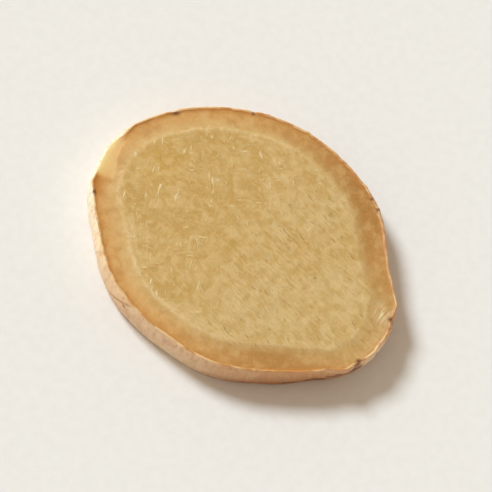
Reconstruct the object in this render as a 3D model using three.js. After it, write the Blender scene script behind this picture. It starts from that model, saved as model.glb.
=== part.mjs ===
// One slice of fresh ginger root, cut straight across the rhizome and lying on its lower cut face.
// It grew as one piece, so it is one solid: the peel, the cortex band inside it and the fibrous
// core are shapes on that solid, and never shells of their own.
// Millimetres, +Z up. The origin is the centre of the slice's box, on the lower cut face, and +X
// runs along its longest way across.
import * as THREE from "three";

const { lerp } = THREE.MathUtils;

// Overall size, peel to peel.
const SLICE_LENGTH = 43;
const SLICE_WIDTH = 35;
const SLICE_THICKNESS = 4.5; // from the lower cut face to the top of the peel's lip

// The rim: rounded peel between the two cut faces.
const RIM_BULGE = 0.45; // how far the middle of the rim stands out past the cut edges
const BASE_EDGE_ROUND = 0.3; // radius where the peel turns under the slice

// The upper cut face, from the peel inwards.
const PEEL_THICKNESS = 0.35;
const LIP_HEIGHT = 0.22; // the peel stands this far above the flesh, which has shrunk
const CORTEX_WIDTH = 3.8; // from the widest line round the rim to the pale ring round the core
const CORTEX_DISH = 0.12; // how far the middle of the cortex sinks below its edges
const CORE_DISH = 0.18; // how far the middle of the core sinks below the pale ring
const CUT_WAVE = 0.12; // depth of the knife's slow waves
const CUT_WAVE_LENGTH = 26;

// How finely the solid is drawn.
const STEPS_ROUND = 88;
const STEPS_IN_EDGE = 3;
const STEPS_UP_HALF_RIM = 3;
const STEPS_OVER_CORTEX = 3;
const STEPS_OVER_CORE = 5;

// The outline of the widest line round the rim, as shares of half the length and half the width.
// It is an oval with a blunt end on each side, where the rhizome's two flanks are flattened.
const OUTLINE = [
  [0.975, -0.24],
  [1.0, 0.02],
  [0.94, 0.27],
  [0.74, 0.53],
  [0.43, 0.87],
  [0.0, 1.0],
  [-0.42, 0.9],
  [-0.79, 0.56],
  [-0.97, 0.18],
  [-1.0, -0.07],
  [-0.9, -0.44],
  [-0.76, -0.61],
  [-0.5, -0.865],
  [-0.22, -0.98],
  [0.22, -0.965],
  [0.43, -0.87],
  [0.6, -0.725],
  [0.87, -0.42],
];

const NOMINAL_RADIUS = SLICE_LENGTH / 2;
const FLESH_TOP = SLICE_THICKNESS - LIP_HEIGHT;

// Evenly spaced points on the outline, fitted to the overall length and width about the origin.
function outlinePoints(count) {
  const anchors = OUTLINE.map(([along, across]) => new THREE.Vector3(along, across, 0));
  const curve = new THREE.CatmullRomCurve3(anchors, true, "centripetal");
  const points = curve.getSpacedPoints(count).slice(0, count);
  const box = new THREE.Box3().setFromPoints(points);
  const middle = box.getCenter(new THREE.Vector3());
  const extent = box.getSize(new THREE.Vector3());
  const fit = new THREE.Vector3(SLICE_LENGTH / extent.x, SLICE_WIDTH / extent.y, 1);
  return points.map((point) => point.sub(middle).multiply(fit));
}

// How far the rim's surface lies inside its widest line, which is halfway up: a shallow barrel.
function rimInset(height) {
  const up = (2 * height) / SLICE_THICKNESS - 1;
  return RIM_BULGE * up * up;
}

// Half of the slice's section, from the middle of the lower face, out round the rim and back in
// over the upper face. Each station has its inset from the widest line, its height, and whether
// it lies on the upper cut.
function sectionStations() {
  const stations = [];
  const add = (inset, height, onCut = false) => stations.push({ inset, height, onCut });
  add(NOMINAL_RADIUS, 0);

  const edgeInset = rimInset(BASE_EDGE_ROUND);
  for (let step = 0; step < STEPS_IN_EDGE; step++) {
    const turn = ((step / STEPS_IN_EDGE) * Math.PI) / 2;
    add(edgeInset + BASE_EDGE_ROUND * (1 - Math.sin(turn)), BASE_EDGE_ROUND * (1 - Math.cos(turn)));
  }

  const waist = SLICE_THICKNESS / 2;
  const rimTop = SLICE_THICKNESS - PEEL_THICKNESS / 2;
  for (let step = 0; step < STEPS_UP_HALF_RIM; step++) {
    const height = lerp(BASE_EDGE_ROUND, waist, step / STEPS_UP_HALF_RIM);
    add(rimInset(height), height);
  }
  for (let step = 0; step <= STEPS_UP_HALF_RIM; step++) {
    const height = lerp(waist, rimTop, step / STEPS_UP_HALF_RIM);
    add(rimInset(height), height);
  }

  const lipInset = rimInset(rimTop) + PEEL_THICKNESS / 2;
  add(lipInset, SLICE_THICKNESS);
  for (let step = 0; step <= STEPS_OVER_CORTEX; step++) {
    const share = step / STEPS_OVER_CORTEX;
    const dish = CORTEX_DISH * Math.sin(share * Math.PI);
    add(lerp(lipInset + PEEL_THICKNESS, CORTEX_WIDTH, share), FLESH_TOP - dish, true);
  }
  for (let step = 1; step <= STEPS_OVER_CORE; step++) {
    const share = step / STEPS_OVER_CORE;
    const dish = CORE_DISH * Math.sin((share * Math.PI) / 2);
    add(lerp(CORTEX_WIDTH, NOMINAL_RADIUS, share), FLESH_TOP - dish, true);
  }
  return stations;
}

// The distance from the middle at which an inset falls, on a ray where the rim is rimRadius out.
// The peel and cortex keep their widths, and the core takes up the rest.
function radiusAt(inset, rimRadius) {
  if (inset <= CORTEX_WIDTH) return rimRadius - inset;
  const shareOfCore = (NOMINAL_RADIUS - inset) / (NOMINAL_RADIUS - CORTEX_WIDTH);
  return (rimRadius - CORTEX_WIDTH) * shareOfCore;
}

// The knife's slow waves over the upper cut: always a dip, so that the lip stays the highest.
function knifeWave(x, y) {
  const turns = (2 * Math.PI) / CUT_WAVE_LENGTH;
  const wave = Math.sin(turns * (x + 0.6 * y)) * Math.cos(turns * 0.7 * (y - 0.4 * x));
  return (CUT_WAVE * (1 + wave)) / 2;
}

// The section turned about +Z, then pulled out to the true outline.
function sliceGeometry() {
  const stations = sectionStations();
  const profile = stations.map(
    ({ inset, height }) => new THREE.Vector2(NOMINAL_RADIUS - inset, height),
  );
  const geometry = new THREE.LatheGeometry(profile, STEPS_ROUND);

  const outline = outlinePoints(STEPS_ROUND);
  const position = geometry.getAttribute("position");
  for (let i = 0; i < position.count; i++) {
    const { inset, height, onCut } = stations[i % stations.length];
    const rim = outline[Math.floor(i / stations.length) % STEPS_ROUND];
    const radius = radiusAt(inset, rim.length());
    const point = rim.clone().setLength(radius);
    const dip = onCut ? knifeWave(point.x, point.y) : 0;
    position.setXYZ(i, point.x, point.y, height - dip);
  }
  geometry.computeVertexNormals();
  return geometry;
}

const flesh = new THREE.MeshStandardMaterial({ color: 0xd2b172, roughness: 0.5, metalness: 0 });
const slice = new THREE.Mesh(sliceGeometry(), flesh);
slice.name = "ginger_slice";

const gingerRoot = new THREE.Group();
gingerRoot.add(slice);

export default gingerRoot;
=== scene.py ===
"""The looks of one slice of fresh ginger root, lying on its lower cut face.

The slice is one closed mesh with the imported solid's outline and thickness: an upper and a lower cut
face, and the rim of peel between them. Lengths are in millimetres until the mesh is made, and angles
run anticlockwise from +X, as seen from above.
"""
import itertools
import math

import bpy
import numpy as np
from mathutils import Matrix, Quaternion, Vector


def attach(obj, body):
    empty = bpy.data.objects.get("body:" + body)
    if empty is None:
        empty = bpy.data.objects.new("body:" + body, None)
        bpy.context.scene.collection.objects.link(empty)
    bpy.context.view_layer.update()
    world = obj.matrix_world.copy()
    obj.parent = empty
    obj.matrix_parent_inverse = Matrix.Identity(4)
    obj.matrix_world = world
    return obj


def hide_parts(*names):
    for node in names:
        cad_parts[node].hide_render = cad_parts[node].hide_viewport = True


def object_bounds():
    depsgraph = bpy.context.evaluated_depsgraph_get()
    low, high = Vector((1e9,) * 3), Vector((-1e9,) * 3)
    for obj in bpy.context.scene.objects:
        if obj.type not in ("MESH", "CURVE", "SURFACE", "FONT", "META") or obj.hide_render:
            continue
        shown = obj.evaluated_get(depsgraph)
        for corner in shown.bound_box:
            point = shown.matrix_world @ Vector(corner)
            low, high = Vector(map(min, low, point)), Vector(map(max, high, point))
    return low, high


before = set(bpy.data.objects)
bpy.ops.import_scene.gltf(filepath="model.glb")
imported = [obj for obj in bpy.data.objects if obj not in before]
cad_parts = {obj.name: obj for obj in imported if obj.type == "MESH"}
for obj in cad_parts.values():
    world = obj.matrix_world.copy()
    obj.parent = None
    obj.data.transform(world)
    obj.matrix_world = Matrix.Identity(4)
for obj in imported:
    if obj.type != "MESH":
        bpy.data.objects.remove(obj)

cad_low, cad_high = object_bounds()

MM = 0.001
NODE = "ginger_slice"
PIECE = "ginger_slice_detail"

# The camera looks down on the slice, and is rolled so that the slice's longest way runs from the
# upper left of the picture to the lower right. Azimuth 0 is in front of it, at -Y, and 90 is at +X.
VIEW_AZIMUTH = 18
VIEW_ELEVATION = 64
VIEW_ROLL = 22
LENS = 180
SENSOR_WIDTH = 36
SLICE_SHARE_OF_FRAME = 0.70  # the slice's length over the frame's width
NEAREST_SEEN = 0.01  # metres
FARTHEST_SEEN = 20  # metres

# The window's light, placed as the camera is.
LIGHT_AZIMUTH = 264
LIGHT_ELEVATION = 42
LIGHT_SPREAD = 18
LIGHT_STRENGTH = 3.1
LIGHT_COLOUR = (0.82, 0.94, 1.0)

# The room's even light: the walls' colour at the horizon, and the ceiling's from this height up,
# where straight up is 1.
WALL_COLOUR = (0.85, 0.83, 0.76, 1.0)
CEILING_COLOUR = (0.47, 0.39, 0.29, 1.0)
CEILING_HEIGHT = 0.45

FLOOR_REACH = 3.0  # metres
FLOOR_GAP = 0.00002  # metres between the slice and the floor

# How finely the mesh is drawn.
FACE_CELLS = 184  # across each cut face
RINGS = FACE_CELLS // 2
COLUMNS = FACE_CELLS * 4  # round the rim
RIM_ROWS = 42
EDGE_RINGS = (0, 10, 24)  # counted in from the edge of a cut face ...
EDGE_INSETS = (0.0, 1.0, 3.4)  # ... and how far in they lie, in mm; the rest share out the core

# The rim, in mm.
OUTLINE_WAVES = 18  # how many waves the outline's series has
RIM_BULGE = 0.45  # how far the middle of the rim stands out past the cut edges
EDGE_ROUND = 0.3  # radius where the peel turns under the slice
NOISE_RADIUS = 20.0  # of the circle on which noise round the rim is read
LOWER_NOISE_HEIGHT = 40.0  # where it is read for the lower edge, so that the two edges differ

# The cut faces, in mm.
LIP_HEIGHT = 0.15  # how far the peel stands above the flesh of the upper face
LIP_WIDTH = 0.26
GROOVE_INSET = 0.7  # a shallow groove where the flesh has shrunk from the peel
GROOVE_DEPTH = 0.03
CORTEX_WIDTH = 3.15  # from the cut edge to the pale ring round the core
CORTEX_DISH = 0.1
CORE_DISH = 0.16
RING_RIDGE = 0.035  # how far the pale ring stands up
SECOND_RING_INSET = 0.7  # a fainter ring lies this far inside the first
FAINT_RING_ANGLE = 186
FAINT_RING_HALF = 15
CUT_WAVE = 0.06  # the knife's slow waves ...
KNIFE_LINES = 0.012  # ... and the fine lines that it left
KNIFE_ANGLE = 62  # the way that the lines run
TOP_EDGE_ROUND = 0.06  # how far the cut edge of the peel is rounded down
LOWER_FACE_DEPTH = 0.2  # the deepest that the pressed underside is hollowed

# What the edge of the peel shows: angle and half-width in degrees, and the distance in mm that
# the edge stands out (+) or is broken away (-).
EDGE_MARKS = (
    (200, 1.6, 0.3),
    (178.5, 2.2, -0.3),
    (157, 1.9, -0.24),
    (126, 1.4, -0.14),
    (101.5, 1.2, 0.2),
    (84, 1.4, -0.1),
    (67, 1.3, 0.15),
    (55.5, 1.4, 0.12),
    (30, 2.0, -0.12),
    (16, 2.6, 0.22),
    (9.5, 2.0, -0.26),
    (6, 0.7, -0.12),
    (356, 1.3, 0.1),
    (349.5, 1.9, -0.26),
    (347, 0.7, -0.12),
    (343.5, 1.6, 0.16),
    (338.5, 1.7, -0.22),
    (312, 1.2, -0.08),
)

# Brown chips and specks on the cut edge of the peel: angle and half-width in degrees.
BROWN_CHIPS = ((203.5, 0.9), (157, 1.6), (126, 0.7), (9.5, 1.0), (349.5, 0.9), (55.5, 0.8), (61, 0.5))

# Brown spots on the rim: angle in degrees, height in mm, and half-sizes round and up in mm.
RIM_SPOTS = (
    (348, 3.2, 1.1, 1.2),
    (342, 2.7, 1.3, 0.8),
    (335, 2.0, 1.6, 0.6),
    (326, 1.3, 1.5, 0.4),
    (357, 3.6, 0.35, 0.3),
    (9, 3.7, 0.5, 0.45),
    (250, 3.2, 0.4, 0.25),
    (146, 3.6, 1.6, 0.35),
    (137, 3.0, 0.9, 0.7),
    (129, 1.7, 1.3, 0.3),
    (97, 3.8, 1.1, 0.35),
    (76, 2.6, 0.7, 0.8),
    (71, 3.5, 1.4, 0.35),
    (44, 3.3, 0.5, 0.7),
    (36, 1.4, 0.9, 0.3),
)

# A flat bevel where the peel has been pared off, and the dark amber bruise beside it.
PARED_ANGLES = (179, 195)
PARED_WIDTHS = (1.0, 2.4)  # the bevel's width at its two ends
PARED_DROP = 0.6
BRUISE_ANGLE = 200
BRUISE_HALF = 5.5

# What varies round the cortex and in the core.
BLUNT_END_ANGLE = 0  # where the cortex fades into the core
BLUNT_END_HALF = 19
# Angle, half-width and amount of the flanks where the cortex and the rim are painted darker and
# browner, as painted shade.
PAINTED_SHADE_FLANKS = ((62, 50, 1.0), (10, 45, 0.8), (322, 40, 0.9))
# Angle, half-width and extra width in mm of where the cortex is wider.
WIDE_FLANKS = ((35, 28, 0.75), (215, 25, 0.6), (312, 28, 0.5))
YELLOW_SPOT = (-15.0, 1.0)  # the middle, in mm, of the yellowest part of the core
YELLOW_REACH = 3.8
TUFT_ANGLE = 10  # a tuft of pale torn fibres near the edge
TUFT_HALF = 3.4
TUFT_INSET = 1.5
TUFT_REACH = 0.9

# The end where the rim slopes in towards its foot.
UNDERCUT_ANGLE = 356
UNDERCUT_HALF = 30
UNDERCUT = 1.0  # mm at the foot

# Leaf scars, thin lines round the rim: angle in degrees, height in mm, rise in mm for each
# degree, and half-length in degrees.
SCARS = ((246, 2.8, 0.2, 7), (82, 2.1, -0.03, 24), (148, 2.9, 0.05, 14), (318, 1.5, 0.02, 16))
SCAR_HALF_WIDTH = 0.15
SCAR_DEPTH = 0.12
SPOT_DEPTH = 0.03
SCALY_ANGLE = 118  # a patch of scaly peel
SCALY_HALF = 26
SCALE_HEIGHT = 0.14
# Angle, half-width and amount of where the peel is palest; the span at 273 degrees is painted light,
# which lifts the side of the rim that faces away from the light.
CREAM_AND_PAINTED_LIGHT_SPANS = ((199, 32, 1.0), (273, 28, 0.4), (355, 9, 0.6))

# Colours as a screen shows them, 0 to 255. First the cut faces, from the core outwards.
CORE_RIGHT_COLOURS = ((199, 165, 103), (204, 173, 116))
CORE_LEFT_COLOURS = ((198, 159, 91), (204, 168, 105))
CORE_YELLOW_COLOUR = (200, 158, 78)
CORE_PALE_LUMP_COLOUR = (216, 183, 128)
CORE_DARK_LUMP_COLOUR = (190, 148, 76)
CORE_GRAIN_COLOUR = (228, 200, 152)
FELT_DARK_COLOUR = (180, 138, 66)
FELT_PALE_COLOUR = (222, 193, 140)
FIBRE_DARK_COLOUR = (156, 112, 42)
FIBRE_PALE_COLOUR = (240, 220, 178)
RING_COLOUR = (228, 200, 150)
CORTEX_COLOURS = ((211, 168, 106), (213, 163, 97))  # beside the core, and beside the rim
CORTEX_EDGE_COLOUR = (200, 140, 66)
# Painted shade on the cortex's flanks.
CORTEX_PAINTED_SHADE_COLOUR = (167, 114, 47)
CORTEX_PALE_COLOUR = (220, 184, 124)
CORTEX_DARK_COLOUR = (174, 118, 52)
CORTEX_GRAIN_COLOUR = (228, 194, 140)
TUFT_COLOUR = (236, 220, 182)
BRUISE_COLOUR = (190, 122, 44)
PARED_COLOURS = ((214, 174, 106), (220, 188, 126))  # the bevel's inner side, and its edge
RIND_COLOUR = (186, 120, 46)  # the dark line of flesh just inside the peel
# Where the peel is palest the lip takes the second colour, which is also painted light on the side
# that faces away from the light.
LIP_COLOURS = ((218, 178, 128), (236, 208, 162))  # the peel's cut edge, and where it is palest
LIP_DARK_COLOUR = (192, 138, 82)
CHIP_COLOUR = (112, 66, 32)

# Then the outside of the peel.
SKIN_COLOURS = ((230, 188, 140), (221, 171, 121))
# Painted shade on the rim's flanks.
SKIN_PAINTED_SHADE_COLOUR = (186, 128, 82)
# The peel's palest colour, also used as painted light.
SKIN_CREAM_AND_PAINTED_LIGHT_COLOUR = (252, 236, 206)
SKIN_DARK_COLOUR = (208, 152, 104)
SKIN_PALE_COLOUR = (244, 214, 172)
STREAK_DARK_COLOUR = (198, 146, 100)
STREAK_PALE_COLOUR = (240, 208, 166)
FLECK_PALE_COLOUR = (242, 214, 174)
# Painted shade at the rim's foot, next to the floor.
FOOT_PAINTED_SHADE_COLOUR = (150, 90, 46)
SCALE_COLOUR = (176, 122, 78)
SPECK_COLOUR = (150, 98, 58)
SCAR_COLOUR = (158, 104, 62)
SCAB_COLOURS = ((98, 56, 28), (150, 96, 56))

FLOOR_COLOURS = ((233, 229, 226), (236, 232, 230))

# How far light travels under the surface, in metres, and the share of that which red, green and
# blue light reach.
GLOW_DEPTH = 0.0014
FLESH_GLOW = (1.0, 0.55, 0.22)
PEEL_GLOW = (1.0, 0.5, 0.2)

# The map that the finish can be baked to, in shares of its side: the two faces are discs, and the
# rim is two upright strips.
MAP_SCALE = 0.0133  # for each mm
DISC_U = 0.31
DISC_V = (0.26, 0.74)  # the upper face's middle and the lower face's
STRIP_U = (0.68, 0.82)  # the two strips' left sides
STRIP_WIDTH = 0.09
STRIP_V = 0.08  # their lower ends
STRIP_LENGTH = 0.84


def noise(points, size, seed):
    """Perlin noise, about -1 to 1, with lumps about size mm across; size may be one per axis."""
    draw = np.random.RandomState(seed)
    order = draw.permutation(256)
    slopes = draw.normal(size=(256, 3))
    slopes /= np.linalg.norm(slopes, axis=1, keepdims=True)
    place = points / np.asarray(size, float)
    corner = np.floor(place).astype(int)
    within = place - corner
    ease = within**3 * (within * (6 * within - 15) + 10)
    total = np.zeros(len(points))
    for step in itertools.product((0, 1), repeat=3):
        at = (corner + step) & 255
        pick = order[(order[(order[at[:, 0]] + at[:, 1]) & 255] + at[:, 2]) & 255]
        share = np.prod(np.where(step, ease, 1 - ease), axis=1)
        total += share * np.sum(slopes[pick] * (within - step), axis=1)
    return 1.6 * total


def turned(points, degrees):
    """Points turned about +Z, so that noise can be stretched along any direction."""
    c = math.cos(math.radians(degrees))
    s = math.sin(math.radians(degrees))
    x, y, z = points.T
    return np.column_stack([c * x + s * y, c * y - s * x, z])


def smooth(value, low, high):
    """0 below low, 1 above high, and an even curve between; low may be above high."""
    share = np.clip((value - low) / (high - low), 0, 1)
    return share * share * (3 - 2 * share)


def near_angle(angle, centre, half):
    """1 at the centre, falling to about a third at half away; only angle is in radians."""
    away = (np.degrees(angle) - centre + 180) % 360 - 180
    return np.exp(-((away / half) ** 2))


def waves(angle):
    """The columns of a Fourier series in angle."""
    turns = np.outer(angle, np.arange(1, OUTLINE_WAVES + 1))
    return np.hstack([np.ones((len(angle), 1)), np.cos(turns), np.sin(turns)])


def outline_series():
    """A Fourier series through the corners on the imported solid's widest line."""
    corners = np.array([v.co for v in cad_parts[NODE].data.vertices]) / MM
    halfway = corners[:, 2].max() / 2
    x, y, _ = corners[np.abs(corners[:, 2] - halfway) < 0.01].T
    return np.linalg.lstsq(waves(np.arctan2(y, x)), np.hypot(x, y), rcond=None)[0]


WIDEST = outline_series()
THICKNESS = cad_high.z / MM


def widest_radius(angle):
    """How far out the rim's widest line is, in mm."""
    return waves(angle) @ WIDEST


def at_radius(angle, radius, height):
    """Points at an angle, a distance from the middle and a height."""
    return np.column_stack([radius * np.cos(angle), radius * np.sin(angle), height])


def on_circle(angle, height=0.0):
    """Points on a circle about the size of the slice, for noise that closes on itself."""
    return at_radius(angle, NOISE_RADIUS, np.full(len(angle), height))


def edge_jitter(angle):
    """How far the cut edge of the peel strays from its even line, in mm."""
    ring = on_circle(angle)
    stray = 0.07 * noise(ring, 2.4, 11) + 0.04 * noise(ring, 0.7, 12)
    for centre, half, out in EDGE_MARKS:
        stray = stray + out * near_angle(angle, centre, half)
    return stray


def edge_radius(angle):
    """How far out the cut edge of the upper face is, in mm."""
    return widest_radius(angle) - RIM_BULGE + edge_jitter(angle)


def undercut(angle, height):
    """How far the rim slopes in at a height, in mm."""
    return UNDERCUT * near_angle(angle, UNDERCUT_ANGLE, UNDERCUT_HALF) * (1 - height / THICKNESS)


def lower_edge_radius(angle):
    """How far out the flat of the lower face reaches, in mm."""
    ring = on_circle(angle, LOWER_NOISE_HEIGHT)
    inset = RIM_BULGE + EDGE_ROUND + undercut(angle, 0)
    return widest_radius(angle) - inset + 0.08 * noise(ring, 1.6, 13)


def lip_height(angle):
    """How far the peel stands above the flesh; it is lower where it is broken or pared."""
    ring = on_circle(angle)
    height = LIP_HEIGHT * (1 + 0.45 * noise(ring, 3.0, 14) + 0.3 * noise(ring, 0.8, 15))
    for centre, half, out in EDGE_MARKS:
        height = height * (1 - (0.8 if out < 0 else -0.5) * near_angle(angle, centre, half))
    return height * (1 - pared_share(angle)[0])


def pared_share(angle):
    """1 at the angles of the bevel and 0 elsewhere, and the width of the bevel in mm."""
    degrees = np.degrees(angle) % 360
    first, last = PARED_ANGLES
    share = smooth(degrees, first - 2, first + 4) * smooth(degrees, last + 2.5, last - 1.5)
    return share, np.interp(degrees, PARED_ANGLES, PARED_WIDTHS)


def cortex_width(angle):
    """The cortex's width in mm, which wavers and is greater on the flanks."""
    ring = on_circle(angle)
    width = CORTEX_WIDTH + 0.12 * noise(ring, 9.0, 16) + 0.12 * noise(ring, 2.5, 17)
    for centre, half, extra in WIDE_FLANKS:
        width = width + extra * near_angle(angle, centre, half)
    return width


def strongest(angle, spans):
    """The largest of several spans' values: each has an angle, a half-width and an amount."""
    value = np.zeros(len(angle))
    for centre, half, amount in spans:
        value = np.maximum(value, amount * near_angle(angle, centre, half))
    return value


def disc_grid():
    """A square grid mapped on to a disc, with each ring's corners evenly spaced.

    Returns each corner's share of the way out and its angle, the quads, and the edge's corners.
    """
    side = np.linspace(-1, 1, FACE_CELLS + 1)
    a, b = (grid.ravel() for grid in np.meshgrid(side, side, indexing="ij"))
    wide = np.abs(a) > np.abs(b)
    reach = np.where(wide, a, b)
    other = np.where(wide, b, a)
    slant = np.divide(other, reach, out=np.zeros_like(other), where=reach != 0) * math.pi / 4
    angle = np.where(wide, slant, math.pi / 2 - slant) + np.where(reach < 0, math.pi, 0)
    angle %= 2 * math.pi
    share = np.abs(reach)

    index = np.arange(len(a)).reshape(FACE_CELLS + 1, FACE_CELLS + 1)
    corners = [index[:-1, :-1], index[1:, :-1], index[1:, 1:], index[:-1, 1:]]
    quads = np.stack(corners, axis=-1).reshape(-1, 4)
    edge = np.flatnonzero(share > 1 - 1e-9)
    return share, angle, quads, edge[np.argsort(angle[edge])]


def face_radius(share, outer):
    """The radius of each corner of a cut face whose edge is outer away from the middle."""
    rings_in = (1 - share) * RINGS
    inset = np.interp(rings_in, EDGE_RINGS, EDGE_INSETS)
    core_share = np.clip((rings_in - EDGE_RINGS[-1]) / (RINGS - EDGE_RINGS[-1]), 0, 1)
    return (outer - inset) * (1 - core_share)


def fibre_relief(points, seed):
    """Torn fibres and soft lumps of a cut core, in mm."""
    bend = np.column_stack([noise(points, 2.2, seed + 30 + i) for i in range(3)])
    bent = points + 0.5 * bend
    relief = 0.02 * noise(points, 1.5, seed) + 0.016 * noise(points, 0.7, seed + 1)
    relief += 0.014 * noise(points, 4.5, seed + 2)
    left = smooth(points[:, 0], 7.0, -7.0)
    fibres = ((-7, 2.6, 0.5, 1 - 0.6 * left), (40, 1.8, 0.45, left), (-60, 1.9, 0.45, left))
    for i, (degrees, along, across, amount) in enumerate(fibres):
        stretched = noise(turned(bent, degrees), (along, across, 1.0), seed + 3 + i)
        patch = amount * smooth(noise(points, 5.0, seed + 6 + i), -0.3, 0.4)
        relief += patch * (0.018 * (1 - np.abs(stretched)) ** 4 + 0.008 * stretched)
    return relief


def cut_face(angle, radius, outer, seed):
    """Zones and relief of a cut face: a dictionary of values for each corner."""
    points = at_radius(angle, radius, np.zeros(len(angle)))
    inset = outer - radius
    width = cortex_width(angle)
    blunt = near_angle(angle, BLUNT_END_ANGLE, BLUNT_END_HALF)
    core = smooth(inset, width - 0.9, width + 0.5)
    band = (1 - smooth(inset, width - 1.6, width + 0.6)) * (1 - 0.6 * blunt)
    ring = np.exp(-(((inset - width) / 0.3) ** 2))
    second = np.exp(-(((inset - width - SECOND_RING_INSET) / 0.2) ** 2))
    ring = ring * (0.75 + 0.35 * noise(points, 5.0, seed + 20))
    ring *= 1 - 0.7 * near_angle(angle, FAINT_RING_ANGLE, FAINT_RING_HALF)
    ring += 0.6 * second * smooth(noise(points, 6.0, seed + 23), -0.1, 0.4)
    relief = core * fibre_relief(points, seed)
    bumps = 0.014 * noise(points, 1.3, seed + 21) + 0.008 * noise(points, 0.5, seed + 22)
    relief += (1 - core) * bumps
    relief += RING_RIDGE * ring
    in_cortex = np.clip((inset - 2 * LIP_WIDTH) / (width - 2 * LIP_WIDTH), 0, 1)
    relief -= CORTEX_DISH * np.sin(in_cortex * math.pi)
    in_core = np.clip((inset - width) / (outer - width), 0, 1)
    relief -= CORE_DISH * np.sin(in_core * math.pi / 2)
    from_spot = np.hypot(points[:, 0] - YELLOW_SPOT[0], points[:, 1] - YELLOW_SPOT[1])
    return {
        "points": points,
        "inset": inset,
        "core": core,
        "band": band,
        "ring": np.clip(ring, 0, 1) * (1 - blunt),
        "yellow": np.exp(-((from_spot / YELLOW_REACH) ** 2)),
        "relief": relief,
    }


def upper_face(share, angle):
    """The upper cut face: its lip, groove, bevel, bruise, tuft and knife marks."""
    outer = edge_radius(angle)
    face = cut_face(angle, face_radius(share, outer), outer, 100)
    points, inset = face["points"], face["inset"]
    stray = 0.5 + 0.3 * noise(on_circle(angle), 1.5, 31)
    lip = 1 - smooth(inset, LIP_WIDTH * stray, LIP_WIDTH * (1.1 + stray))
    groove = np.exp(-(((inset - GROOVE_INSET) / 0.3) ** 2))
    on_bevel, bevel_width = pared_share(angle)
    pared = on_bevel * np.clip(1 - inset / bevel_width, 0, 1)
    wave = noise(points, (22, 13, 1), 32)
    knife = noise(turned(points, KNIFE_ANGLE), (30, 1.8, 1), 33)
    height = THICKNESS - LIP_HEIGHT + face["relief"]
    height += CUT_WAVE * wave + KNIFE_LINES * knife
    height += lip * lip_height(angle) - GROOVE_DEPTH * groove
    height -= PARED_DROP * pared
    height -= TOP_EDGE_ROUND * (1 - smooth(inset, 0.0, 2 * TOP_EDGE_ROUND))
    points[:, 2] = height
    tuft_share = np.exp(-(((inset - TUFT_INSET) / TUFT_REACH) ** 2))
    face["tuft"] = near_angle(angle, TUFT_ANGLE, TUFT_HALF) * tuft_share
    bruise = near_angle(angle, BRUISE_ANGLE, BRUISE_HALF) * (1 - smooth(inset, 0.6, 2.4))
    face["bruise"] = bruise * (1 - on_bevel)
    torn = 0.35 * noise(points, 1.2, 34)
    face["pared"] = on_bevel * (1 - smooth(inset + torn, 0.1 * bevel_width, 1.3 * bevel_width))
    face["lip"] = lip * (1 - face["pared"])
    return face


def lower_face(share, angle):
    """The lower cut face: pressed flat where the slice lies, and slightly hollow elsewhere."""
    outer = lower_edge_radius(angle)
    face = cut_face(angle, face_radius(share, outer), outer, 500)
    relief = face["relief"]
    flat = 0.5 * (relief - relief.min()) * smooth(face["inset"], 0.2, 1.2)
    hollow = np.clip(0.35 - flat, 0.0, LOWER_FACE_DEPTH)
    face["points"][:, 2] = hollow * smooth(face["inset"], 0.2, 1.2)
    face["lip"] = 1 - smooth(face["inset"], LIP_WIDTH * 0.8, LIP_WIDTH * 1.4)
    for key in ("pared", "bruise", "tuft"):
        face[key] = np.zeros(len(angle))
    return face


def peel_relief(points, angle):
    """The peel's wrinkles, soft dents and scales in mm, and where the peel is scaly, 0 to 1."""
    amount = 0.5 + 0.5 * noise(points, (5.0, 5.0, 9.0), 48)
    wrinkles = 0.07 * noise(points, (1.6, 1.6, 7.0), 41) + 0.035 * noise(points, (0.6, 0.6, 2.6), 42)
    dents = 0.2 * noise(points, (6.0, 6.0, 4.5), 43) + 0.05 * noise(points, 1.7, 44)
    scaly = near_angle(angle, SCALY_ANGLE, SCALY_HALF) * smooth(noise(points, 4.0, 45), -0.2, 0.3)
    scales = (1 - np.abs(noise(points, (1.5, 1.5, 1.1), 46))) ** 3 + 0.5 * noise(points, 0.6, 47)
    return wrinkles * amount + dents + SCALE_HEIGHT * scaly * (scales - 0.5), scaly


def scar_lines(angle, height):
    """1 on the leaf scars, thin lines round the rim that fade towards their ends."""
    marks = np.zeros(len(angle))
    stray = 0.12 * noise(on_circle(angle), 1.4, 49)
    for centre, middle, rise, half in SCARS:
        along = (np.degrees(angle) - centre + 180) % 360 - 180
        away = height - middle - rise * along - stray
        line = np.exp(-((away / SCAR_HALF_WIDTH) ** 2)) * np.exp(-((along / half) ** 4))
        marks = np.maximum(marks, line)
    return marks


def rim_spots(angle, height):
    """1 on the brown spots of the rim, with ragged edges."""
    marks = np.zeros(len(angle))
    ring = on_circle(angle, height)
    ragged = 0.5 * noise(ring, 0.7, 53) + 0.35 * noise(ring, 0.3, 54)
    for centre, middle, wide, tall in RIM_SPOTS:
        away = (angle - math.radians(centre) + math.pi) % (2 * math.pi) - math.pi
        reach = np.hypot(away * widest_radius(angle) / wide, (height - middle) / tall)
        marks = np.maximum(marks, 1 - smooth(reach + ragged, 0.3, 1.4))
    return marks


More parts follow.
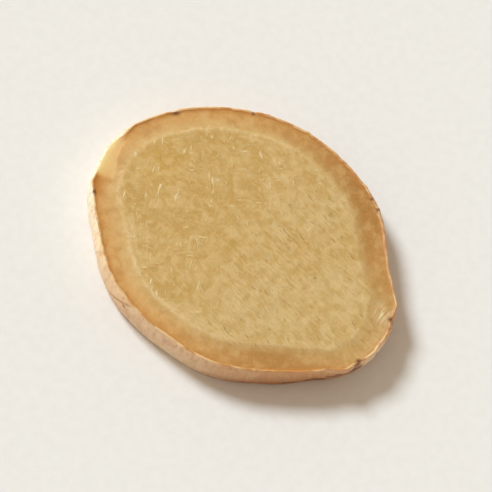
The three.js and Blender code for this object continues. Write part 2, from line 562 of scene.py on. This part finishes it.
def rim_rows(top, bottom):
    """The rim's rows between the two faces' edges, from the top down; top and bottom are points."""
    angle = np.arctan2(top[:, 1], top[:, 0])
    steps = np.arange(1, RIM_ROWS) / RIM_ROWS
    down = (1 - np.cos(steps * math.pi)) / 2 * 0.6 + steps * 0.4
    rows = []
    for share in down:
        height = top[:, 2] + (bottom[:, 2] - top[:, 2]) * share
        up = 2 * height / THICKNESS - 1
        even = widest_radius(angle) - RIM_BULGE * up * up - undercut(angle, height)
        even += edge_jitter(angle) * (1 - share) ** 6
        low = np.clip((EDGE_ROUND - height) / EDGE_ROUND, 0, 1)
        even -= EDGE_ROUND * (1 - np.sqrt(1 - low * low))
        place = at_radius(angle, even, height)
        relief, scaly = peel_relief(place, angle)
        scar = scar_lines(angle, height)
        spots = rim_spots(angle, height)
        away = smooth(share, 0.0, 0.08) * smooth(share, 1.0, 0.9)
        radius = even + away * (relief - SCAR_DEPTH * scar - SPOT_DEPTH * spots)
        place = at_radius(angle, radius, height)
        rows.append({"points": place, "scar": scar, "scaly": scaly, "brown": spots})
    return rows


def brown_chips(angle, inset):
    """1 on the small brown chips and specks at the cut edge of the peel."""
    marks = np.zeros(len(angle))
    for centre, half in BROWN_CHIPS:
        marks = np.maximum(marks, near_angle(angle, centre, half))
    ring = on_circle(angle)
    marks = np.maximum(marks, smooth(noise(ring, 1.1, 51) + 0.7 * noise(ring, 7.0, 52), 0.8, 1.0))
    return marks * (1 - smooth(inset, LIP_WIDTH, 2.4 * LIP_WIDTH))


def join_parts():
    """The closed mesh's corners, quads and values, and a 1 for each quad that is on the rim."""
    share, angle, quads, edge = disc_grid()
    upper = upper_face(share, angle)
    lower = lower_face(share, angle)
    rows = rim_rows(upper["points"][edge], lower["points"][edge])

    corners = [upper["points"], *(row["points"] for row in rows), lower["points"]]
    points = np.vstack(corners)
    lower_start = len(points) - len(share)
    ring = np.arange(COLUMNS)
    row_starts = [len(share) + COLUMNS * i for i in range(RIM_ROWS - 1)]
    bands = [edge, *(start + ring for start in row_starts), lower_start + edge]
    rim_quads = []
    for above, below in zip(bands, bands[1:]):
        rim_quads.append(np.column_stack([above, below, np.roll(below, -1), np.roll(above, -1)]))
    every_quad = np.vstack([quads, *rim_quads, lower_start + quads[:, ::-1]])

    nought = np.zeros(COLUMNS * (RIM_ROWS - 1))
    values = {
        key: np.concatenate([upper[key], nought, lower[key]])
        for key in ("inset", "core", "band", "ring", "tuft", "yellow", "lip", "pared", "bruise")
    }
    pad = np.zeros(len(share))
    for key in ("scar", "scaly"):
        values[key] = np.concatenate([pad, *(row[key] for row in rows), pad])
    upper_chips = brown_chips(angle, upper["inset"])
    lower_chips = brown_chips(angle + 1, lower["inset"])  # so that they lie elsewhere
    values["brown"] = np.concatenate([upper_chips, *(row["brown"] for row in rows), lower_chips])
    whole_angle = np.arctan2(points[:, 1], points[:, 0])
    # cream is the peel's pale colour, with painted light in the span at 273 degrees.
    values["cream"] = strongest(whole_angle, CREAM_AND_PAINTED_LIGHT_SPANS)
    # The flanks' painted shade, kept in the dark value.
    values["dark"] = strongest(whole_angle, PAINTED_SHADE_FLANKS)
    values["height"] = points[:, 2] / THICKNESS
    on_rim = np.zeros(len(every_quad), int)
    on_rim[len(quads) : len(quads) + COLUMNS * RIM_ROWS] = 1
    return points, every_quad, values, on_rim


def bake_map(points, quads, on_rim):
    """A UV for each quad's corner: the two faces as discs, and the rim as two upright strips."""
    x, y, _ = points[quads].transpose(2, 0, 1)
    u = DISC_U + MAP_SCALE * x
    v = np.where(quads < (FACE_CELLS + 1) ** 2, *DISC_V) + MAP_SCALE * y
    rim = np.flatnonzero(on_rim)
    column = (rim - rim[0]) % COLUMNS
    row = (rim - rim[0]) // COLUMNS
    columns = column[:, None] + np.array([0, 0, 1, 1])
    rows = row[:, None] + np.array([0, 1, 1, 0])
    half = COLUMNS // 2
    second = (column >= half)[:, None]
    u[rim] = np.where(second, STRIP_U[1], STRIP_U[0]) + STRIP_WIDTH * rows / RIM_ROWS
    v[rim] = STRIP_V + STRIP_LENGTH * (columns - half * second) / half
    return np.stack([u, v], axis=-1).reshape(-1)


def slice_piece():
    """The slice as one mesh object, with its values as attributes and its two materials."""
    points, quads, values, on_rim = join_parts()
    mesh = bpy.data.meshes.new(PIECE)
    mesh.from_pydata((points * MM).tolist(), [], quads.tolist())
    for key, value in values.items():
        layer = mesh.attributes.new(key, "FLOAT", "POINT")
        layer.data.foreach_set("value", value.astype(np.float32))
    layer = mesh.uv_layers.new(name="OFBake")
    layer.data.foreach_set("uv", bake_map(points, quads, on_rim).astype(np.float32))
    mesh.materials.append(flesh_material())
    mesh.materials.append(peel_material())
    mesh.polygons.foreach_set("material_index", on_rim)
    mesh.shade_smooth()
    mesh.update()
    piece = bpy.data.objects.new(PIECE, mesh)
    bpy.context.scene.collection.objects.link(piece)
    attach(piece, "root")
    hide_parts(NODE)


class Nodes:
    """Short ways to add and join the nodes of one material."""

    def __init__(self, name):
        self.material = bpy.data.materials.new(name)
        self.material.use_nodes = True
        self.tree = self.material.node_tree
        self.shader = self.tree.nodes["Principled BSDF"]

    def add(self, kind, inputs=(), **settings):
        made = self.tree.nodes.new("ShaderNode" + kind)
        for key, value in settings.items():
            setattr(made, key, value)
        for key, value in dict(inputs).items():
            self.give(made.inputs[key], value)
        return made

    def give(self, socket, value):
        if isinstance(value, bpy.types.NodeSocket):
            self.tree.links.new(value, socket)
        else:
            socket.default_value = value

    def set(self, **inputs):
        """Shader inputs, with _ for a space in their names."""
        for key, value in inputs.items():
            self.give(self.shader.inputs[key.replace("_", " ")], value)

    def place(self):
        """Where the surface is, in millimetres."""
        here = self.add("TexCoord").outputs["Object"]
        return self.vector("SCALE", {0: here, "Scale": 1 / MM})

    def stretch(self, place, degrees, size):
        """place turned about +Z and divided by size, which has a number for each axis."""
        scale = [1 / s for s in size]
        inputs = {"Vector": place, "Rotation": (0, 0, math.radians(-degrees))}
        turn = self.add("Mapping", inputs, vector_type="POINT").outputs[0]
        return self.vector("MULTIPLY", {0: turn, 1: scale})

    def noise(self, place, size=1.0, detail=2.0, rough=0.5):
        """Soft noise, 0 to 1, with lumps about size mm across."""
        inputs = {"Vector": place, "Scale": 1 / size, "Detail": detail, "Roughness": rough}
        return self.add("TexNoise", inputs).outputs[0]

    def value(self, name):
        """One of the values that the mesh holds at each corner."""
        return self.add("Attribute", attribute_name=name).outputs["Fac"]

    def vector(self, operation, inputs):
        return self.add("VectorMath", inputs, operation=operation).outputs[0]

    def math(self, operation, a, b):
        return self.add("Math", {0: a, 1: b}, operation=operation).outputs[0]

    def product(self, first, *others):
        for other in others:
            first = self.math("MULTIPLY", first, other)
        return first

    def total(self, first, *others):
        for other in others:
            first = self.math("ADD", first, other)
        return first

    def step(self, value, low, high, to_low=0.0, to_high=1.0):
        """value eased from to_low, at low, to to_high, at high."""
        inputs = {"Value": value, "From Min": low, "From Max": high}
        inputs.update({"To Min": to_low, "To Max": to_high})
        return self.add("MapRange", inputs, interpolation_type="SMOOTHSTEP").outputs[0]

    def mix(self, share, a, b):
        made = self.add("Mix", data_type="RGBA")
        self.give(made.inputs[0], share)
        self.give(made.inputs[6], a)
        self.give(made.inputs[7], b)
        return made.outputs[2]

    def tint(self, base, share, shade):
        """base with a share of a screen colour mixed in."""
        return self.mix(share, base, colour(*shade))

    def between(self, share, shades):
        """A colour share of the way from the first of two screen colours to the second."""
        first, second = shades
        return self.mix(share, colour(*first), colour(*second))

    def blend(self, share, a, b):
        """A number share of the way from a to b."""
        made = self.add("Mix", data_type="FLOAT")
        self.give(made.inputs[0], share)
        self.give(made.inputs[2], a)
        self.give(made.inputs[3], b)
        return made.outputs[0]

    def bump(self, height):
        """A bumped normal from a height in millimetres."""
        inputs = {"Height": height, "Distance": MM, "Strength": 1.0}
        return self.add("Bump", inputs).outputs[0]

    def bent(self, place, size, amount):
        """place moved about by noise, so that what is drawn there isn't straight."""
        drift = self.add("TexNoise", {"Vector": place, "Scale": 1 / size, "Detail": 1.0})
        middle = (0.5, 0.5, 0.5)
        away = self.vector("SUBTRACT", {0: drift.outputs["Color"], 1: middle})
        away = self.vector("SCALE", {0: away, "Scale": amount})
        return self.vector("ADD", {0: place, 1: away})

    def strands(self, place, degrees, along, across, seed):
        """Noise drawn out along one direction, 0 to 1."""
        cells = self.stretch(place, degrees, (along, across, across))
        moved = self.vector("ADD", {0: cells, 1: (seed, 2.7 * seed, 1.9 * seed)})
        return self.noise(moved, 1.0, 1.0)


def colour(red, green, blue):
    """A colour given as it looks on a screen, 0 to 255, as the linear colour that nodes use."""
    def linear(c):
        c /= 255
        return c / 12.92 if c <= 0.04045 else ((c + 0.055) / 1.055) ** 2.4

    return (linear(red), linear(green), linear(blue), 1.0)


def core_colour(n, place, grain):
    """The fibrous core's colour, and the relief of its fibres in mm."""
    bent = n.bent(place, 1.6, 0.8)
    left = n.step(n.add("SeparateXYZ", {0: place}).outputs[0], 9.0, -9.0)
    broad = n.step(n.noise(place, 6.0, 2.0), 0.35, 0.65)
    lumps = n.step(n.noise(bent, 1.3, 2.0), 0.36, 0.64)

    even = n.strands(bent, -8, 1.6, 0.3, 3)
    mixed = n.blend(n.step(n.noise(place, 3.1), 0.44, 0.56), even, n.strands(bent, 40, 1.1, 0.3, 7))
    mixed = n.blend(n.step(n.noise(place, 2.7), 0.5, 0.6), mixed, n.strands(bent, -62, 1.1, 0.3, 11))
    felt = n.blend(n.step(left, 0.25, 0.75), even, mixed)

    light = n.math("MAXIMUM", n.strands(bent, 36, 1.7, 0.46, 23), n.strands(bent, -58, 1.6, 0.46, 29))
    light = n.product(n.step(light, 0.65, 0.83), n.step(left, 0.0, 1.0, 0.2, 1.0))
    dark = n.strands(bent, -8, 2.0, 0.26, 37)
    dark = n.product(n.step(dark, 0.64, 0.77), n.step(left, 1.0, 0.0, 0.3, 1.0))

    core = n.mix(left, n.between(broad, CORE_RIGHT_COLOURS), n.between(broad, CORE_LEFT_COLOURS))
    core = n.tint(core, n.product(n.value("yellow"), 0.8), CORE_YELLOW_COLOUR)
    core = n.tint(core, n.product(n.step(lumps, 0.5, 1.0), 0.4), CORE_PALE_LUMP_COLOUR)
    core = n.tint(core, n.product(n.step(lumps, 0.5, 0.0), 0.4), CORE_DARK_LUMP_COLOUR)
    core = n.tint(core, n.step(felt, 0.5, 0.3, 0.0, 0.26), FELT_DARK_COLOUR)
    core = n.tint(core, n.step(felt, 0.5, 0.72, 0.0, 0.3), FELT_PALE_COLOUR)
    core = n.tint(core, n.step(grain, 0.5, 0.75, 0.0, 0.2), CORE_GRAIN_COLOUR)
    core = n.tint(core, n.product(dark, 0.48), FIBRE_DARK_COLOUR)
    core = n.tint(core, n.product(light, 0.62), FIBRE_PALE_COLOUR)
    relief = n.total(n.product(felt, 0.03), n.product(light, 0.04), n.product(dark, -0.04))
    return core, relief


def flesh_material():
    """The cut faces: core, pale ring, amber cortex band and the cut edge of the peel."""
    n = Nodes("ginger_flesh")
    place = n.place()
    mottle = n.step(n.noise(n.bent(place, 1.4, 1.1), 1.1, 3.0, 0.6), 0.3, 0.7)
    grain = n.noise(place, 0.3, 3.0, 0.6)
    inset = n.value("inset")
    core, fibres = core_colour(n, place, grain)

    # dark is the flanks' painted shade: it browns the cortex, dims the ring and deepens the rind
    # there.
    dark = n.value("dark")
    amber = n.between(n.step(inset, 2.8, 1.0), CORTEX_COLOURS)
    amber = n.tint(amber, n.product(n.step(inset, 1.5, 0.5), 0.45), CORTEX_EDGE_COLOUR)
    amber = n.tint(amber, n.product(dark, 0.85), CORTEX_PAINTED_SHADE_COLOUR)
    cloud = n.noise(n.bent(place, 1.8, 1.2), 1.5, 3.0, 0.55)
    amber = n.tint(amber, n.step(cloud, 0.46, 0.7, 0.0, 0.34), CORTEX_PALE_COLOUR)
    amber = n.tint(amber, n.step(cloud, 0.54, 0.3, 0.0, 0.4), CORTEX_DARK_COLOUR)
    amber = n.tint(amber, n.step(grain, 0.5, 0.75, 0.0, 0.16), CORTEX_GRAIN_COLOUR)

    face = n.mix(n.value("band"), core, amber)
    ring = n.product(n.value("ring"), n.step(grain, 0.3, 0.6, 0.5, 1.0))
    face = n.tint(face, n.product(ring, n.step(dark, 0.2, 0.9, 0.62, 0.25)), RING_COLOUR)
    patchy = n.step(n.noise(place, 2.6, 2.0), 0.35, 0.65, 0.25, 1.0)
    rind = n.product(n.step(inset, 0.8, 0.25), patchy, n.step(dark, 0.0, 0.8, 0.55, 0.85))
    face = n.tint(face, rind, RIND_COLOUR)
    face = n.tint(face, n.product(n.value("bruise"), 0.85), BRUISE_COLOUR)
    pale = n.between(n.step(inset, 1.2, 0.2), PARED_COLOURS)
    face = n.mix(n.value("pared"), face, pale)
    torn = n.step(n.strands(place, 98, 1.4, 0.22, 41), 0.42, 0.6)
    face = n.tint(face, n.product(n.value("tuft"), torn, 0.72), TUFT_COLOUR)
    # cream adds painted light to the lip at 273 degrees as well as its pale colour.
    edge = n.between(n.value("cream"), LIP_COLOURS)
    edge = n.tint(edge, n.step(n.noise(place, 2.0, 3.0), 0.4, 0.6), LIP_DARK_COLOUR)
    lip = n.step(n.total(n.value("lip"), n.product(grain, 0.3)), 0.5, 0.85)
    face = n.mix(n.product(lip, 0.9), face, edge)
    face = n.tint(face, n.value("brown"), CHIP_COLOUR)

    relief = n.product(fibres, n.step(n.value("core"), 0.0, 1.0, 0.12, 1.0))
    relief = n.total(relief, n.product(grain, 0.03), n.product(mottle, 0.02))
    n.set(
        Base_Color=face,
        Roughness=n.total(n.step(grain, 0.3, 0.7, 0.44, 0.6), n.product(n.value("pared"), 0.25)),
        Subsurface_Weight=0.3,
        Subsurface_Radius=FLESH_GLOW,
        Subsurface_Scale=GLOW_DEPTH,
        Specular_IOR_Level=0.4,
        Normal=n.bump(relief),
    )
    return n.material


def peel_material():
    """The outside of the peel: cream to pinkish tan, streaked, with brown scars and scales."""
    n = Nodes("ginger_peel")
    place = n.place()
    broad = n.step(n.noise(place, 6.0, 3.0), 0.35, 0.65)
    cloud = n.noise(n.bent(place, 2.0, 1.5), 1.7, 4.0, 0.6)
    streaks = n.noise(n.stretch(n.bent(place, 2.5, 0.8), 0, (0.55, 0.55, 2.8)), 1.0, 3.0, 0.6)
    fine = n.noise(place, 0.28, 3.0, 0.6)
    skin = n.between(broad, SKIN_COLOURS)
    # Painted shade on the shaded flanks of the rim.
    skin = n.tint(skin, n.product(n.value("dark"), 0.5), SKIN_PAINTED_SHADE_COLOUR)
    # cream: the peel's pale colour, and painted light at 273 degrees.
    skin = n.tint(skin, n.value("cream"), SKIN_CREAM_AND_PAINTED_LIGHT_COLOUR)
    skin = n.tint(skin, n.step(cloud, 0.5, 0.3, 0.0, 0.5), SKIN_DARK_COLOUR)
    skin = n.tint(skin, n.step(cloud, 0.5, 0.7, 0.0, 0.5), SKIN_PALE_COLOUR)
    skin = n.tint(skin, n.step(streaks, 0.45, 0.72, 0.0, 0.5), STREAK_DARK_COLOUR)
    skin = n.tint(skin, n.step(streaks, 0.48, 0.3, 0.0, 0.3), STREAK_PALE_COLOUR)
    skin = n.tint(skin, n.step(fine, 0.55, 0.8, 0.0, 0.35), FLECK_PALE_COLOUR)
    # Painted shade: the rim darkens towards its foot, most on the shaded flanks.
    foot = n.step(n.value("height"), 0.9, 0.2)
    foot = n.product(foot, n.step(n.value("dark"), 0.3, 0.85, 0.06, 0.85))
    skin = n.tint(skin, foot, FOOT_PAINTED_SHADE_COLOUR)
    skin = n.tint(skin, n.product(n.value("scaly"), n.step(fine, 0.35, 0.6), 0.8), SCALE_COLOUR)
    spots = n.product(n.step(n.noise(place, 0.6, 3.0, 0.65), 0.62, 0.74), n.step(broad, 0.2, 0.9))
    skin = n.tint(skin, n.product(spots, 0.55), SPECK_COLOUR)
    scar = n.product(n.value("scar"), n.step(cloud, 0.35, 0.6, 0.3, 0.85))
    skin = n.tint(skin, scar, SCAR_COLOUR)
    ragged = n.total(n.value("brown"), n.product(fine, 0.9), n.product(cloud, 0.6))
    scab = n.between(n.step(fine, 0.35, 0.65), SCAB_COLOURS)
    skin = n.mix(n.step(ragged, 0.8, 1.7, 0.0, 0.9), skin, scab)
    relief = n.total(n.product(streaks, 0.05), n.product(fine, 0.035), n.product(cloud, 0.06))
    n.set(
        Base_Color=skin,
        Roughness=n.step(cloud, 0.3, 0.7, 0.52, 0.7),
        Subsurface_Weight=0.25,
        Subsurface_Radius=PEEL_GLOW,
        Subsurface_Scale=GLOW_DEPTH,
        Normal=n.bump(relief),
    )
    return n.material


def floor_material():
    """Warm, off-white paper with a very faint grain."""
    n = Nodes("pale_floor")
    paper = n.noise(n.place(), 1.2, 3.0)
    n.set(
        Base_Color=n.between(n.step(paper, 0.3, 0.7), FLOOR_COLOURS),
        Roughness=0.9,
        Specular_IOR_Level=0.1,
        Normal=n.bump(n.product(paper, 0.01)),
    )
    return n.material


def floor():
    """A wide, plain floor that the slice lies on."""
    low = cad_low.z - FLOOR_GAP
    mesh = bpy.data.meshes.new("floor")
    corners = ((-1, -1), (1, -1), (1, 1), (-1, 1))
    square = [(FLOOR_REACH * x, FLOOR_REACH * y, low) for x, y in corners]
    mesh.from_pydata(square, [], [(0, 1, 2, 3)])
    mesh.materials.append(floor_material())
    made = bpy.data.objects.new("floor", mesh)
    bpy.context.scene.collection.objects.link(made)


def direction(azimuth, elevation):
    """A unit vector from the slice towards a place; azimuth 0 is in front, at -Y, and 90 is at +X."""
    turn = math.radians(azimuth)
    rise = math.radians(elevation)
    level = math.cos(rise)
    return Vector((math.sin(turn) * level, -math.cos(turn) * level, math.sin(rise)))


def camera():
    """The camera, looking down at the middle of the slice."""
    back = direction(VIEW_AZIMUTH, VIEW_ELEVATION)
    data = bpy.data.cameras.new("camera")
    data.lens = LENS
    data.sensor_width = SENSOR_WIDTH
    data.clip_start = NEAREST_SEEN
    data.clip_end = FARTHEST_SEEN
    made = bpy.data.objects.new("camera", data)
    centre = (cad_low + cad_high) / 2
    seen_width = (cad_high.x - cad_low.x) / SLICE_SHARE_OF_FRAME
    made.location = centre + back * (seen_width * LENS / SENSOR_WIDTH)
    made.rotation_mode = "QUATERNION"
    roll = Quaternion((0, 0, 1), math.radians(VIEW_ROLL))
    made.rotation_quaternion = (-back).to_track_quat("-Z", "Y") @ roll
    bpy.context.scene.collection.objects.link(made)
    bpy.context.scene.camera = made


def window():
    """Soft light from one side, as from a large, far window."""
    back = direction(LIGHT_AZIMUTH, LIGHT_ELEVATION)
    data = bpy.data.lights.new("window", "SUN")
    data.energy = LIGHT_STRENGTH
    data.angle = math.radians(LIGHT_SPREAD)
    data.color = LIGHT_COLOUR
    made = bpy.data.objects.new("window", data)
    made.location = back
    made.rotation_mode = "QUATERNION"
    made.rotation_quaternion = (-back).to_track_quat("-Z", "Y")
    bpy.context.scene.collection.objects.link(made)


def room():
    """Warm, even light from all round, brighter towards the horizon, as from pale walls."""
    world = bpy.data.worlds.new("room")
    world.use_nodes = True
    nodes = world.node_tree.nodes
    links = world.node_tree.links
    background = nodes["Background"]
    split = nodes.new("ShaderNodeSeparateXYZ")
    links.new(nodes.new("ShaderNodeTexCoord").outputs["Generated"], split.inputs[0])
    ramp = nodes.new("ShaderNodeValToRGB")
    wall, ceiling = ramp.color_ramp.elements
    wall.color = WALL_COLOUR
    ceiling.color = CEILING_COLOUR
    ceiling.position = CEILING_HEIGHT
    links.new(split.outputs["Z"], ramp.inputs[0])
    links.new(ramp.outputs["Color"], background.inputs["Color"])
    bpy.context.scene.world = world


camera()
window()
room()
bpy.context.scene.view_settings.view_transform = "Standard"
floor()
slice_piece()
